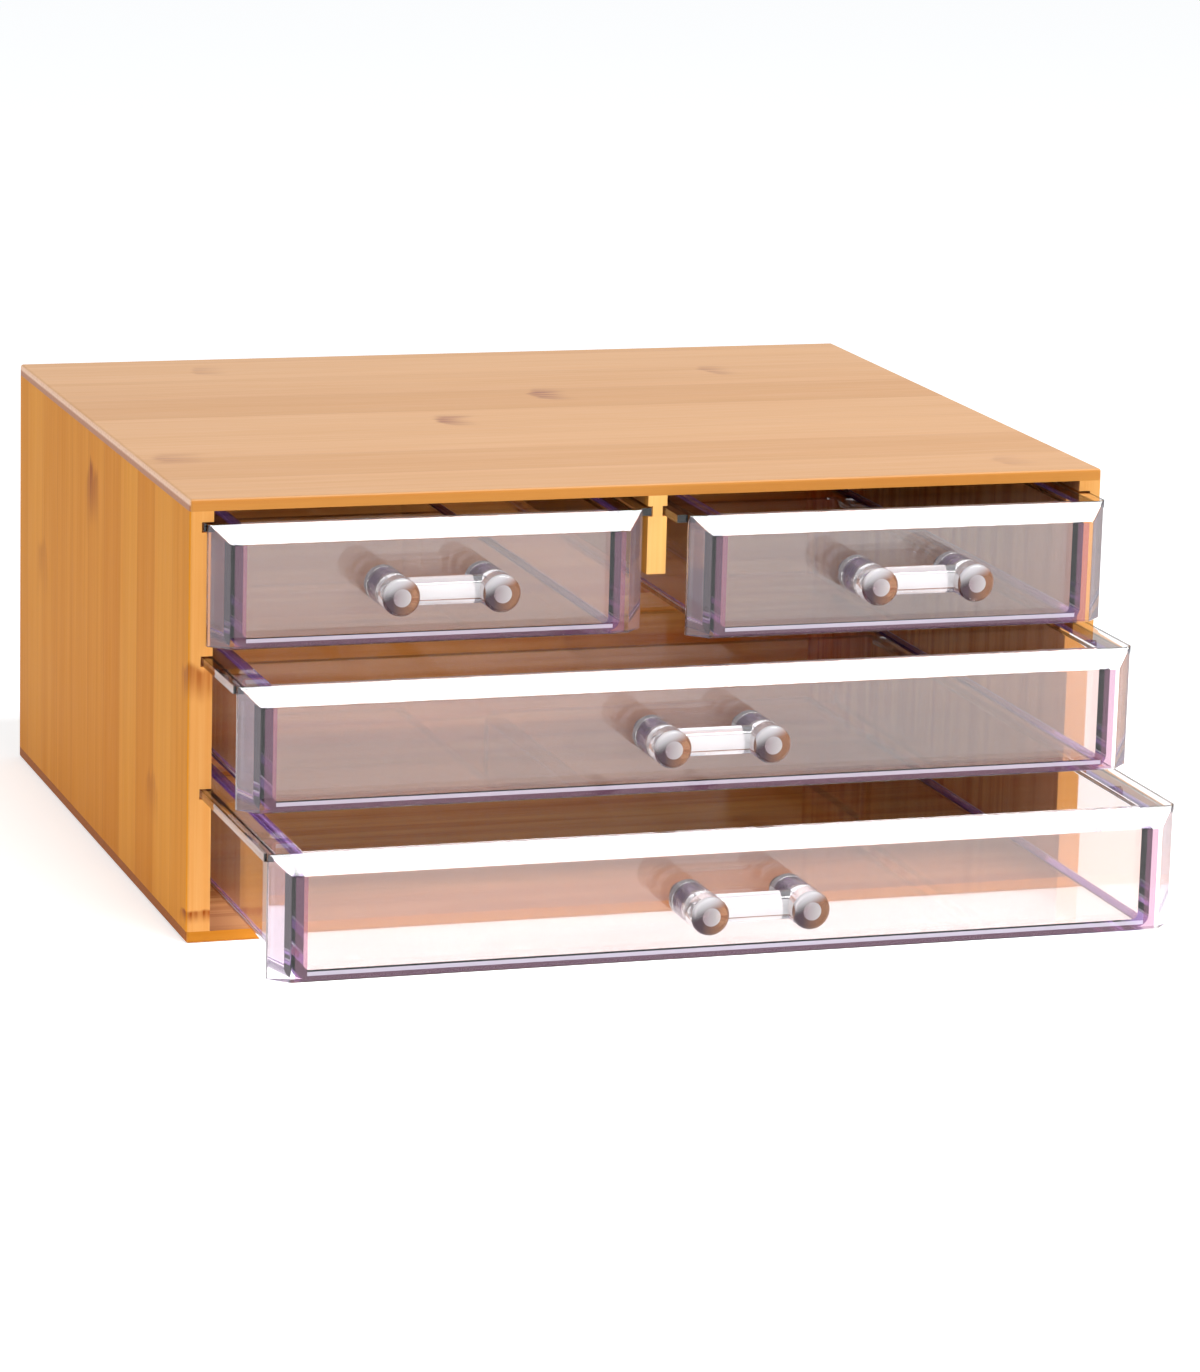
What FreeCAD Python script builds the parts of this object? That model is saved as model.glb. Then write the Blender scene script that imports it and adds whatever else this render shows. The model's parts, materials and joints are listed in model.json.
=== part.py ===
import FreeCAD, Part

import os

import Sketcher

# A table-top organizer: an open-fronted bamboo case that holds clear moulded drawers.
# Frame: origin at the centre of the case's underside, X to the right, Y to the back, Z up, in millimetres.
# There are no shelves. Each drawer hangs by a rim on both sides that slides in a groove.

doc = FreeCAD.newDocument("organizer")

SIZES = {
    "case_width": "240",
    "case_depth": "200",
    "case_height": "112",
    "top_thickness": "3",
    "bottom_thickness": "3",
    "side_thickness": "6",
    "back_thickness": "4",
    "arris_radius": "0.8",
    "groove_depth": "3",
    "rail_width": "5",
    "rail_height": "20",
    "rail_groove_depth": "1.2",
    "gap_under_drawers": "5.5",
    "gap_between_drawers": "3",
    "gap_over_drawers": "3",
    "gap_beside_rail": "2",
    "gap_behind_drawers": "4",
    "front_overlap": "1.8",
    "front_thickness": "6",
    "front_bevel": "4.5",
    "front_softening": "0.4",
    "closed_gap": "0.3",
    "wall_inset": "5.6",
    "wall_thickness": "3",
    "floor_thickness": "2",
    "tray_outer_radius": "3",
    "tray_inner_radius": "1.5",
    "rim_thickness": "2",
    "rim_play": "0.3",
    "rim_side_play": "0.4",
    "open_top_left": "0",
    "open_top_right": "10",
    "open_middle": "31",
    "open_bottom": "62",
    "post_diameter": "9.5",
    "post_length": "18",
    "post_spacing": "25.5",
    "post_softening": "1.2",
    "bar_diameter": "7",
    "bar_distance": "10.5",
    "screw_diameter": "3",
    "screw_bite": "8",
    "screw_play": "0.05",
    "screw_end_gap": "0.5",
    "front_hole_play": "0.3",
    "head_diameter": "6",
    "head_height": "2",
    "head_dome": "1.2",
    "recess_length": "3.4",
    "recess_width": "0.9",
    "recess_depth": "1",
}

sheet = doc.addObject("Spreadsheet::Sheet", "Sizes")
for row, (alias, value) in enumerate(SIZES.items(), start=1):
    sheet.set(f"A{row}", alias)
    sheet.set(f"B{row}", value)
    sheet.setAlias(f"B{row}", alias)
doc.recompute()

# Places that several pieces share, written as sums of the sizes above.
ROWS = 3
BACK_FACE = "case_depth / 2"
FRONT_FACE = "( - case_depth / 2 )"
INNER_SIDE = "( case_width / 2 - side_thickness )"
INNER_HEIGHT = "( case_height - top_thickness - bottom_thickness )"
INNER_DEPTH = "( case_depth - back_thickness )"
ALL_GAPS = f"( gap_under_drawers + gap_over_drawers + {ROWS - 1} * gap_between_drawers )"
DRAWER_HEIGHT = f"( ( {INNER_HEIGHT} - {ALL_GAPS} ) / {ROWS} )"
PITCH = f"( {DRAWER_HEIGHT} + gap_between_drawers )"
RIM_UNDERSIDE = f"( {DRAWER_HEIGHT} - rim_thickness )"
TRAY_LENGTH = f"( {INNER_DEPTH} + closed_gap - gap_behind_drawers )"
FRONT_EDGE = f"( {INNER_SIDE} + front_overlap )"
FRONT_EDGE_BY_RAIL = "( rail_width / 2 + gap_beside_rail )"
RIM_EDGE = f"( {INNER_SIDE} + groove_depth - rim_side_play )"
RIM_EDGE_BY_RAIL = "( rail_width / 2 - rail_groove_depth + rim_side_play )"
HALF_SPACING = "post_spacing / 2"


def in_sheet(text):
    """The same sum with each size read from the sheet. Words and signs are parted by blanks."""
    return " ".join("Sizes." + word if word in SIZES else word for word in text.split())


def new_body(label, across, back, up):
    """A piece under its own label, with its frame at the given place in the case's frame."""
    body = doc.addObject("PartDesign::Body", label)
    body.Label = label
    body.setExpression("Placement.Base.x", in_sheet(across))
    body.setExpression("Placement.Base.y", in_sheet(back))
    body.setExpression("Placement.Base.z", in_sheet(up))
    return body


def new_sketch(body, name, plane, offset="0"):
    """A sketch on one of the body's origin planes, moved along that plane's normal."""
    sketch = body.newObject("Sketcher::SketchObject", f"{body.Name}_{name}")
    face = next(item for item in body.Origin.OriginFeatures if item.Role == plane)
    sketch.AttachmentSupport = [(face, "")]
    sketch.MapMode = "FlatFace"
    sketch.setExpression("AttachmentOffset.Base.z", in_sheet(offset))
    return sketch


def bind(sketch, kind, where, text):
    """A dimension of a sketch, tied to a sum of sizes."""
    number = sketch.addConstraint(Sketcher.Constraint(kind, *where, 1.0))
    name = f"{kind.lower()}_{number}"
    sketch.renameConstraint(number, name)
    sketch.setExpression(f"Constraints.{name}", in_sheet(text))


def draw_rectangle(sketch, left, right, low, high):
    """A rectangle whose edges lie at these distances from the sketch's origin."""
    first = sketch.GeometryCount
    corners = [FreeCAD.Vector(x, y, 0) for x, y in ((1, 1), (2, 1), (2, 2), (1, 2))]
    for number in range(4):
        sketch.addGeometry(Part.LineSegment(corners[number], corners[(number + 1) % 4]))
    for number, direction in enumerate(("Horizontal", "Vertical", "Horizontal", "Vertical")):
        following = first + (number + 1) % 4
        sketch.addConstraint(Sketcher.Constraint("Coincident", first + number, 2, following, 1))
        sketch.addConstraint(Sketcher.Constraint(direction, first + number))
    bind(sketch, "DistanceX", (-1, 1, first, 1), left)
    bind(sketch, "DistanceX", (-1, 1, first, 2), right)
    bind(sketch, "DistanceY", (-1, 1, first, 1), low)
    bind(sketch, "DistanceY", (-1, 1, first + 2, 1), high)


def draw_circle(sketch, across, up, radius):
    """A circle at these distances from the sketch's origin."""
    number = sketch.addGeometry(Part.Circle(FreeCAD.Vector(1, 1, 0), FreeCAD.Vector(0, 0, 1), 1))
    bind(sketch, "DistanceX", (-1, 1, number, 3), across)
    bind(sketch, "DistanceY", (-1, 1, number, 3), up)
    bind(sketch, "Radius", (number,), radius)


def pad(body, sketch, length, backwards=False, both_ways=False):
    """Gives a sketch a thickness along its normal."""
    feature = body.newObject("PartDesign::Pad", sketch.Name + "_pad")
    feature.Profile = sketch
    feature.setExpression("Length", in_sheet(length))
    feature.Reversed = backwards
    feature.Midplane = both_ways
    doc.recompute()
    return feature


def cut(body, sketch, length, along_normal=False):
    """Cuts a sketch out of the body, against its normal unless told otherwise."""
    before = body.Shape.Volume
    feature = body.newObject("PartDesign::Pocket", sketch.Name + "_cut")
    feature.Profile = sketch
    feature.setExpression("Length", in_sheet(length))
    feature.Reversed = along_normal
    doc.recompute()
    if not body.Shape.Volume < before:
        raise RuntimeError(feature.Name + " cuts nothing")
    return feature


def edges_where(body, wanted):
    """Names of the edges whose two ends and middle all pass the test."""
    names = []
    for number, edge in enumerate(body.Tip.Shape.Edges, start=1):
        middle = edge.valueAt((edge.FirstParameter + edge.LastParameter) / 2)
        points = [vertex.Point for vertex in edge.Vertexes] + [middle]
        if wanted(points):
            names.append(f"Edge{number}")
    return names


def all_at(points, axis, value):
    """Whether every point has this coordinate, within a hundredth of a millimetre."""
    return all(abs(getattr(point, axis) - value) < 0.01 for point in points)


def runs_along(points, axis):
    """Whether the edge through these points lies along this axis."""
    others = [name for name in "xyz" if name != axis]
    return all(all_at(points, name, getattr(points[0], name)) for name in others)


def round_off(body, name, edges, radius):
    base = body.Tip
    feature = body.newObject("PartDesign::Fillet", f"{body.Name}_{name}")
    feature.Base = (base, edges)
    feature.setExpression("Radius", in_sheet(radius))
    doc.recompute()
    return feature


def bevel(body, name, edges, width):
    base = body.Tip
    feature = body.newObject("PartDesign::Chamfer", f"{body.Name}_{name}")
    feature.Base = (base, edges)
    feature.setExpression("Size", in_sheet(width))
    doc.recompute()
    return feature


def build_board(label, thickness, up, outer_side):
    """Top or bottom: a thin board over the ends of the side panels, with softened outer arrises."""
    body = new_body(label, "0", "0", up)
    outline = new_sketch(body, "outline", "XY_Plane")
    draw_rectangle(outline, "- case_width / 2", "case_width / 2", FRONT_FACE, BACK_FACE)
    pad(body, outline, thickness)
    outer = getattr(body.Tip.Shape.BoundBox, outer_side)
    arrises = edges_where(body, lambda points: runs_along(points, "z") or all_at(points, "z", outer))
    round_off(body, "arrises", arrises, "arris_radius")
    return body


def build_side(label, sign):
    """Side panel: stands between top and bottom, with one groove on its inner face for each row."""
    body = new_body(label, "0", "0", "bottom_thickness")
    outer = "case_width / 2"
    groove_bottom = f"( {INNER_SIDE} + groove_depth )"
    outline = new_sketch(body, "outline", "XZ_Plane", BACK_FACE)
    groove = new_sketch(body, "groove", "XZ_Plane", BACK_FACE)
    groove_low = f"gap_under_drawers + {RIM_UNDERSIDE} - rim_play"
    groove_high = f"gap_under_drawers + {DRAWER_HEIGHT} + rim_play"
    if sign < 0:
        draw_rectangle(outline, f"- {outer}", f"- {INNER_SIDE}", "0", INNER_HEIGHT)
        draw_rectangle(groove, f"- {groove_bottom}", f"- {INNER_SIDE}", groove_low, groove_high)
    else:
        draw_rectangle(outline, INNER_SIDE, outer, "0", INNER_HEIGHT)
        draw_rectangle(groove, INNER_SIDE, groove_bottom, groove_low, groove_high)
    pad(body, outline, "case_depth", backwards=True)
    box = body.Tip.Shape.BoundBox
    outer_face = box.XMin if sign < 0 else box.XMax
    arrises = edges_where(body, lambda points: runs_along(points, "z") and all_at(points, "x", outer_face))
    round_off(body, "arrises", arrises, "arris_radius")
    lowest = cut(body, groove, INNER_DEPTH)
    rows = body.newObject("PartDesign::LinearPattern", label + "_grooves")
    rows.Originals = [lowest]
    rows.Direction = (groove, ["V_Axis"])
    rows.setExpression("Length", in_sheet(f"{ROWS - 1} * {PITCH}"))
    rows.Occurrences = ROWS
    body.Tip = rows
    doc.recompute()
    return body


def build_back():
    """Back panel: glued between the side panels, flush with the back of the case."""
    body = new_body("back_panel", "0", "0", "bottom_thickness")
    outline = new_sketch(body, "outline", "XZ_Plane", f"- {BACK_FACE}")
    draw_rectangle(outline, f"- {INNER_SIDE}", INNER_SIDE, "0", INNER_HEIGHT)
    pad(body, outline, "back_thickness")
    return body


def build_rail():
    """Centre rail: a strip glued under the top, grooved on both faces for the top pair of drawers."""
    body = new_body("centre_rail", "0", "0", "case_height - top_thickness")
    outline = new_sketch(body, "outline", "XZ_Plane", BACK_FACE)
    draw_rectangle(outline, "- rail_width / 2", "rail_width / 2", "- rail_height", "0")
    pad(body, outline, INNER_DEPTH, backwards=True)
    grooves = new_sketch(body, "grooves", "XZ_Plane", BACK_FACE)
    low = "- gap_over_drawers - rim_thickness - rim_play"
    high = "- gap_over_drawers + rim_play"
    draw_rectangle(grooves, "- rail_width / 2", "- rail_width / 2 + rail_groove_depth", low, high)
    draw_rectangle(grooves, "rail_width / 2 - rail_groove_depth", "rail_width / 2", low, high)
    cut(body, grooves, INNER_DEPTH)
    return body


def build_tray(label, drawer):
    """Drawer: front plate, floor, walls and hanging rims, moulded in one piece.

    Its frame lies on the case's middle plane, at the back face of the front plate and at its foot.
    """
    body = new_body(label, "0", drawer["back"], drawer["up"])
    left = drawer["left"]
    right = drawer["right"]
    outer_left = f"{left} + wall_inset"
    outer_right = f"{right} - wall_inset"

    block = new_sketch(body, "block", "XY_Plane")
    draw_rectangle(block, outer_left, outer_right, "0", TRAY_LENGTH)
    pad(body, block, DRAWER_HEIGHT)
    back = body.Tip.Shape.BoundBox.YMax
    corners = edges_where(
        body,
        lambda points: all_at(points, "z", 0) and not all_at(points, "y", 0)
        or runs_along(points, "z") and all_at(points, "y", back),
    )
    round_off(body, "outer_corners", corners, "tray_outer_radius")

    hollow = new_sketch(body, "hollow", "XY_Plane", DRAWER_HEIGHT)
    inner_left = f"{outer_left} + wall_thickness"
    inner_right = f"{outer_right} - wall_thickness"
    draw_rectangle(hollow, inner_left, inner_right, "0", f"{TRAY_LENGTH} - wall_thickness")
    cut(body, hollow, f"{DRAWER_HEIGHT} - floor_thickness")
    floor = body.Tip.Shape.BoundBox.ZMin + sheet.floor_thickness
    inner_back = back - sheet.wall_thickness
    corners = edges_where(
        body,
        lambda points: all_at(points, "z", floor) and not all_at(points, "y", 0)
        or runs_along(points, "z") and all_at(points, "y", inner_back),
    )
    round_off(body, "inner_corners", corners, "tray_inner_radius")

    plate = new_sketch(body, "plate", "XZ_Plane")
    draw_rectangle(plate, left, right, "0", DRAWER_HEIGHT)
    pad(body, plate, "front_thickness")
    face = body.Tip.Shape.BoundBox.YMin
    bevelled = edges_where(body, lambda points: all_at(points, "y", face) and not all_at(points, "z", 0))
    bevel(body, "bevels", bevelled, "front_bevel")
    sharp = edges_where(body, lambda points: all(point.y < -0.01 for point in points))
    round_off(body, "soft_front", sharp, "front_softening")

    rims = new_sketch(body, "rims", "XY_Plane", RIM_UNDERSIDE)
    rim_length = f"{TRAY_LENGTH} - tray_outer_radius"
    draw_rectangle(rims, drawer["rim_left"], outer_left, "0", rim_length)
    draw_rectangle(rims, outer_right, drawer["rim_right"], "0", rim_length)
    pad(body, rims, "rim_thickness")

    holes = new_sketch(body, "screw_holes", "XZ_Plane")
    for side in ("-", "+"):
        across = f"( {left} + {right} ) / 2 {side} {HALF_SPACING}"
        draw_circle(holes, across, f"{DRAWER_HEIGHT} / 2", "screw_diameter / 2 + front_hole_play")
    cut(body, holes, "front_thickness", along_normal=True)
    return body


def build_handle(label, drawer):
    """Pull: two round posts with a round bar between them, moulded in one piece."""
    body = new_body(label, drawer["middle"], f"{drawer['back']} - front_thickness", drawer["half_up"])
    posts = new_sketch(body, "posts", "XZ_Plane")
    holes = new_sketch(body, "pilot_holes", "XZ_Plane")
    for side in ("-", ""):
        draw_circle(posts, f"{side} {HALF_SPACING}", "0", "post_diameter / 2")
        draw_circle(holes, f"{side} {HALF_SPACING}", "0", "screw_diameter / 2 + screw_play")
    pad(body, posts, "post_length")
    bar = new_sketch(body, "bar", "YZ_Plane")
    draw_circle(bar, "- bar_distance", "0", "bar_diameter / 2")
    pad(body, bar, "post_spacing", both_ways=True)
    tip = body.Tip.Shape.BoundBox.YMin
    ends = edges_where(body, lambda points: all_at(points, "y", tip))
    round_off(body, "soft_ends", ends, "post_softening")
    cut(body, holes, "screw_bite + screw_end_gap", along_normal=True)
    return body


def build_screws(label, drawer):
    """The pull's two pan-head screws, driven from inside the drawer through its front plate."""
    body = new_body(label, drawer["middle"], drawer["back"], drawer["half_up"])
    body.AllowCompound = True
    shanks = new_sketch(body, "shanks", "XZ_Plane")
    heads = new_sketch(body, "heads", "XZ_Plane")
    for side in ("-", ""):
        draw_circle(shanks, f"{side} {HALF_SPACING}", "0", "screw_diameter / 2")
        draw_circle(heads, f"{side} {HALF_SPACING}", "0", "head_diameter / 2")
    pad(body, shanks, "front_thickness + screw_bite")
    pad(body, heads, "head_height", backwards=True)
    top = body.Tip.Shape.BoundBox.YMax
    round_off(body, "domes", edges_where(body, lambda points: all_at(points, "y", top)), "head_dome")
    upright = new_sketch(body, "upright_slots", "XZ_Plane", "- head_height")
    level = new_sketch(body, "level_slots", "XZ_Plane", "- head_height")
    for side in ("-", ""):
        middle = f"{side} {HALF_SPACING}"
        half = {"long": "recess_length / 2", "short": "recess_width / 2"}
        for sketch, wide, tall in ((upright, "short", "long"), (level, "long", "short")):
            edges = f"{middle} - {half[wide]}", f"{middle} + {half[wide]}"
            draw_rectangle(sketch, *edges, f"- {half[tall]}", half[tall])
    cut(body, upright, "recess_depth", along_normal=True)
    cut(body, level, "recess_depth", along_normal=True)
    return body


def drawer_place(row, left, right, rim_left, rim_right, opening):
    """Where a drawer hangs: its row from below, its side edges, and how far it stands open."""
    up = f"bottom_thickness + gap_under_drawers + {row} * {PITCH}"
    return {
        "left": left,
        "right": right,
        "middle": f"( {left} + {right} ) / 2",
        "rim_left": rim_left,
        "rim_right": rim_right,
        "up": up,
        "half_up": f"{up} + {DRAWER_HEIGHT} / 2",
        "back": f"{FRONT_FACE} - closed_gap - {opening}",
    }


# The drawers stand open as they do in daily use, each row a little further than the one above.
TOP_ROW = ROWS - 1
WIDE = (f"( - {FRONT_EDGE} )", FRONT_EDGE, f"- {RIM_EDGE}", RIM_EDGE)
HALF_LEFT = (f"( - {FRONT_EDGE} )", f"( - {FRONT_EDGE_BY_RAIL} )", f"- {RIM_EDGE}", f"- {RIM_EDGE_BY_RAIL}")
HALF_RIGHT = (FRONT_EDGE_BY_RAIL, FRONT_EDGE, RIM_EDGE_BY_RAIL, RIM_EDGE)
DRAWERS = {
    "bottom": drawer_place(0, *WIDE, "open_bottom"),
    "middle": drawer_place(1, *WIDE, "open_middle"),
    "top_left": drawer_place(TOP_ROW, *HALF_LEFT, "open_top_left"),
    "top_right": drawer_place(TOP_ROW, *HALF_RIGHT, "open_top_right"),
}

pieces = [
    build_board("top_panel", "top_thickness", "case_height - top_thickness", "ZMax"),
    build_board("bottom_panel", "bottom_thickness", "0", "ZMin"),
    build_side("left_side", -1),
    build_side("right_side", 1),
    build_back(),
    build_rail(),
]
for drawer_name, drawer_sums in DRAWERS.items():
    pieces.append(build_tray(f"drawer_{drawer_name}", drawer_sums))
    pieces.append(build_handle(f"handle_{drawer_name}", drawer_sums))
    pieces.append(build_screws(f"handle_screws_{drawer_name}", drawer_sums))
doc.recompute()

for item in doc.Objects:
    if "Invalid" in item.State or "Error" in item.State:
        raise RuntimeError(f"{item.Name} did not build: {item.State}")
for piece in pieces:
    if piece.Shape.isNull() or not piece.Shape.isValid():
        raise RuntimeError(f"{piece.Label} has no valid solid")

os.makedirs("parts", exist_ok=True)
for piece in pieces:
    piece.Shape.exportStep(f"parts/{piece.Label}.step")
    print(piece.Label, len(piece.Shape.Solids), "solids", round(piece.Shape.Volume / 1000, 2), "cm3")
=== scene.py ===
import json
import math

import bmesh
import bpy
import numpy as np
from mathutils import Matrix, Vector


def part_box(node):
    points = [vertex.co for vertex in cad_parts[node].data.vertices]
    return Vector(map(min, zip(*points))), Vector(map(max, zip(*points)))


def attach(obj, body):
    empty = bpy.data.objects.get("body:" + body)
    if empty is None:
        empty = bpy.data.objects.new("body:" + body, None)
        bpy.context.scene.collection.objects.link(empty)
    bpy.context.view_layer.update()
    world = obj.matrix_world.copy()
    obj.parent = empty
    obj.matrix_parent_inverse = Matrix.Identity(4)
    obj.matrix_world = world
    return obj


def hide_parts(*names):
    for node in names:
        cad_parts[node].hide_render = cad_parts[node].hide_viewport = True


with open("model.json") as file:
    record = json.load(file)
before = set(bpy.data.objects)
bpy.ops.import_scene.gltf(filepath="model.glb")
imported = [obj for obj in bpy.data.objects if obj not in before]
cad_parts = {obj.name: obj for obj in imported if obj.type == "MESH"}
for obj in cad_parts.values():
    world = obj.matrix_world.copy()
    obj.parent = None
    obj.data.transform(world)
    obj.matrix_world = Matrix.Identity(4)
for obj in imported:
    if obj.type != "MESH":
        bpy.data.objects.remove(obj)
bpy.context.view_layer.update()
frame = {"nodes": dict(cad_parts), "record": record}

# The photographer's place
# A long lens looks at the organizer from the left and a little above. It leans very slightly to one side.
camera_place = Vector((-0.4251, -1.3506, 0.3623))
camera_turn = math.radians(-18.20)
camera_rise = math.radians(12.90)
camera_lean = math.radians(1.56)
camera_lens = 141.1

towards_camera = Vector((
    math.sin(camera_turn) * math.cos(camera_rise),
    -math.cos(camera_turn) * math.cos(camera_rise),
    math.sin(camera_rise),
))
level_right = (-towards_camera).cross(Vector((0, 0, 1))).normalized()
level_up = level_right.cross(-towards_camera)
picture_right = math.cos(camera_lean) * level_right + math.sin(camera_lean) * level_up
picture_up = math.cos(camera_lean) * level_up - math.sin(camera_lean) * level_right
camera_turned = Matrix((picture_right, picture_up, towards_camera)).transposed().to_4x4()

camera = bpy.data.objects.new("camera", bpy.data.cameras.new("camera"))
camera.data.lens = camera_lens
camera.matrix_world = Matrix.Translation(camera_place) @ camera_turned
bpy.context.scene.collection.objects.link(camera)
bpy.context.scene.camera = camera
bpy.context.scene.view_settings.view_transform = "Standard"


# The table and the studio light
# The organizer stands on a white sweep, which keeps its shadow. A white tent lights it from all sides, and a
# narrow softbox hangs over it, where the fronts' bevels mirror it. Two wide ones fill in from front and left.
def add_node(tree, kind, settings=None, **sockets):
    """A shader node. Settings are its own properties, and each socket gets a value or a link from an output.

    A socket is named by its name, with underscores for spaces, or by an underscore and its number.
    """
    node = tree.nodes.new("ShaderNode" + kind)
    for name, value in (settings or {}).items():
        setattr(node, name, value)
    for name, value in sockets.items():
        socket = node.inputs[int(name[1:])] if name[1:].isdigit() else node.inputs[name.replace("_", " ")]
        if isinstance(value, bpy.types.NodeSocket):
            tree.links.new(value, socket)
        else:
            socket.default_value = value
    return node


def add_math(tree, operation, first, second=0.0, third=0.0):
    """The output of a Math node on up to three values or outputs."""
    node = add_node(tree, "Math", {"operation": operation}, _0=first, _1=second, _2=third)
    return node.outputs[0]


def seen_directly(tree):
    """1 for rays from the camera, from a mirror or through clear plastic, and 0 for light on the object."""
    path = add_node(tree, "LightPath").outputs
    camera_or_mirror = add_math(tree, "MAXIMUM", path["Is Camera Ray"], path["Is Glossy Ray"])
    return add_math(tree, "MAXIMUM", camera_or_mirror, path["Is Transmission Ray"])


def new_material(name):
    """An empty node material."""
    material = bpy.data.materials.new(name)
    material.use_nodes = True
    material.node_tree.nodes.clear()
    return material


white = (1, 1, 1, 1)
tent_light = 0.52
tent_look = 1.0


def make_tent():
    """A white tent, which looks pure white but lights the object less."""
    tent = bpy.data.worlds.new("white_tent")
    tent.use_nodes = True
    tree = tent.node_tree
    tree.nodes.clear()
    dim = add_node(tree, "Background", Color=white, Strength=tent_light)
    bright = add_node(tree, "Background", Color=white, Strength=tent_look)
    either = add_node(tree, "MixShader", Fac=seen_directly(tree), _1=dim.outputs[0], _2=bright.outputs[0])
    add_node(tree, "OutputWorld", Surface=either.outputs[0])
    return tent


bpy.context.scene.world = make_tent()

sweep_half = 4.0
sweep_grey = (0.76, 0.78, 0.80, 1)
sweep_lift = 0.54


def make_sweep_paint():
    """Pale matt paint. It glows for the camera, in mirrors and through clear plastic, but lights nothing."""
    material = new_material("white_sweep")
    tree = material.node_tree
    paint = add_node(tree, "BsdfDiffuse", Color=sweep_grey)
    glow = add_node(tree, "Emission", Strength=add_math(tree, "MULTIPLY", seen_directly(tree), sweep_lift))
    both = add_node(tree, "AddShader", _0=paint.outputs[0], _1=glow.outputs[0])
    add_node(tree, "OutputMaterial", Surface=both.outputs[0])
    return material


sweep_corners = [(x * sweep_half, y * sweep_half, 0) for x, y in ((-1, -1), (1, -1), (1, 1), (-1, 1))]
sweep_mesh = bpy.data.meshes.new("sweep")
sweep_mesh.from_pydata(sweep_corners, [], [(0, 1, 2, 3)])
sweep_mesh.materials.append(make_sweep_paint())
sweep = bpy.data.objects.new("sweep", sweep_mesh)
bpy.context.scene.collection.objects.link(sweep)


def hang_lamp(name, place, tilt, turn, size, power, mirrored=True):
    """A soft rectangular lamp at a place. It faces down, tilted up towards the back and then turned about Z.

    A lamp that isn't mirrored lights the object, but no image of it shows on or through the clear plastic.
    """
    lamp = bpy.data.lights.new(name, "AREA")
    lamp.shape = "RECTANGLE"
    lamp.size, lamp.size_y = size
    lamp.energy = power
    holder = bpy.data.objects.new(name, lamp)
    holder.location = place
    holder.rotation_euler = (math.radians(tilt), 0, math.radians(turn))
    holder.visible_glossy = mirrored
    holder.visible_transmission = mirrored
    bpy.context.scene.collection.objects.link(holder)


hang_lamp("overhead_strip", place=(0.38, -0.42, 1.27), tilt=0, turn=0, size=(1.00, 0.18), power=10.5)
hang_lamp(
    "front_fill", place=(0.44, -1.90, 0.54), tilt=76, turn=13, size=(1.2, 0.7), power=22.0, mirrored=False
)
hang_lamp("left_fill", place=(-1.90, -0.55, 0.60), tilt=72, turn=-75, size=(1.2, 0.8), power=4.3)


# The bamboo boards
# Top, bottom, sides, back and middle rail are boards glued up from bamboo strips, planed, softened at the
# arrises and given a thin satin lacquer. Each strip has its own tone, and a mark where the cane had a node.
X, Y, Z = 0, 1, 2


def new_group(name, inputs, outputs):
    """A shader node group with these sockets, and the outputs of its Group Input node."""
    group = bpy.data.node_groups.new(name, "ShaderNodeTree")
    kinds = {float: "NodeSocketFloat", Vector: "NodeSocketVector"}
    for socket, kind in inputs.items():
        group.interface.new_socket(socket, in_out="INPUT", socket_type=kinds[kind])
    for socket in outputs:
        group.interface.new_socket(socket, in_out="OUTPUT", socket_type="NodeSocketFloat")
    return group, group.nodes.new("NodeGroupInput").outputs


def end_group(group, results):
    """The Group Output node, with each result linked to the socket of its name."""
    end = group.nodes.new("NodeGroupOutput")
    for name, result in results.items():
        group.links.new(result, end.inputs[name])


def use_group(tree, group, **sockets):
    """The outputs of a node group placed in a material, with its own values."""
    return add_node(tree, "Group", {"node_tree": group}, **sockets).outputs


def ramp(tree, value, start, end, low=0.0, high=1.0, smooth=False):
    """Goes from low to high while the value goes from start to end, and stays there beyond them."""
    kind = "SMOOTHSTEP" if smooth else "LINEAR"
    node = add_node(
        tree, "MapRange", {"interpolation_type": kind}, _0=value, _1=start, _2=end, _3=low, _4=high
    )
    return node.outputs[0]


def mix_colours(tree, share, first, second, blend="MIX"):
    """The first colour with this share of the second laid over it, or multiplied with it."""
    settings = {"data_type": "RGBA", "blend_type": blend}
    return add_node(tree, "Mix", settings, Factor=share, _6=first, _7=second).outputs[2]


def stretched_noise(tree, place, along, across, detail):
    """Noise with this many lumps to the metre along the grain, and as many across it as through the board."""
    scaled = [add_math(tree, "MULTIPLY", part, lumps) for part, lumps in zip(place, (along, across, across))]
    vector = add_node(tree, "CombineXYZ", _0=scaled[0], _1=scaled[1], _2=scaled[2]).outputs[0]
    return add_node(tree, "TexNoise", Vector=vector, Scale=1.0, Detail=detail, Roughness=0.6).outputs[0]


strip_offset = 5.0
broad_in_tone = 0.55
strip_in_tone = 0.40
streak_in_tone = 0.45
fibre_in_tone = 0.25
broad_in_streaks = 0.6
streak_in_streaks = 0.4
glue_line_half = 0.0005


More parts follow.
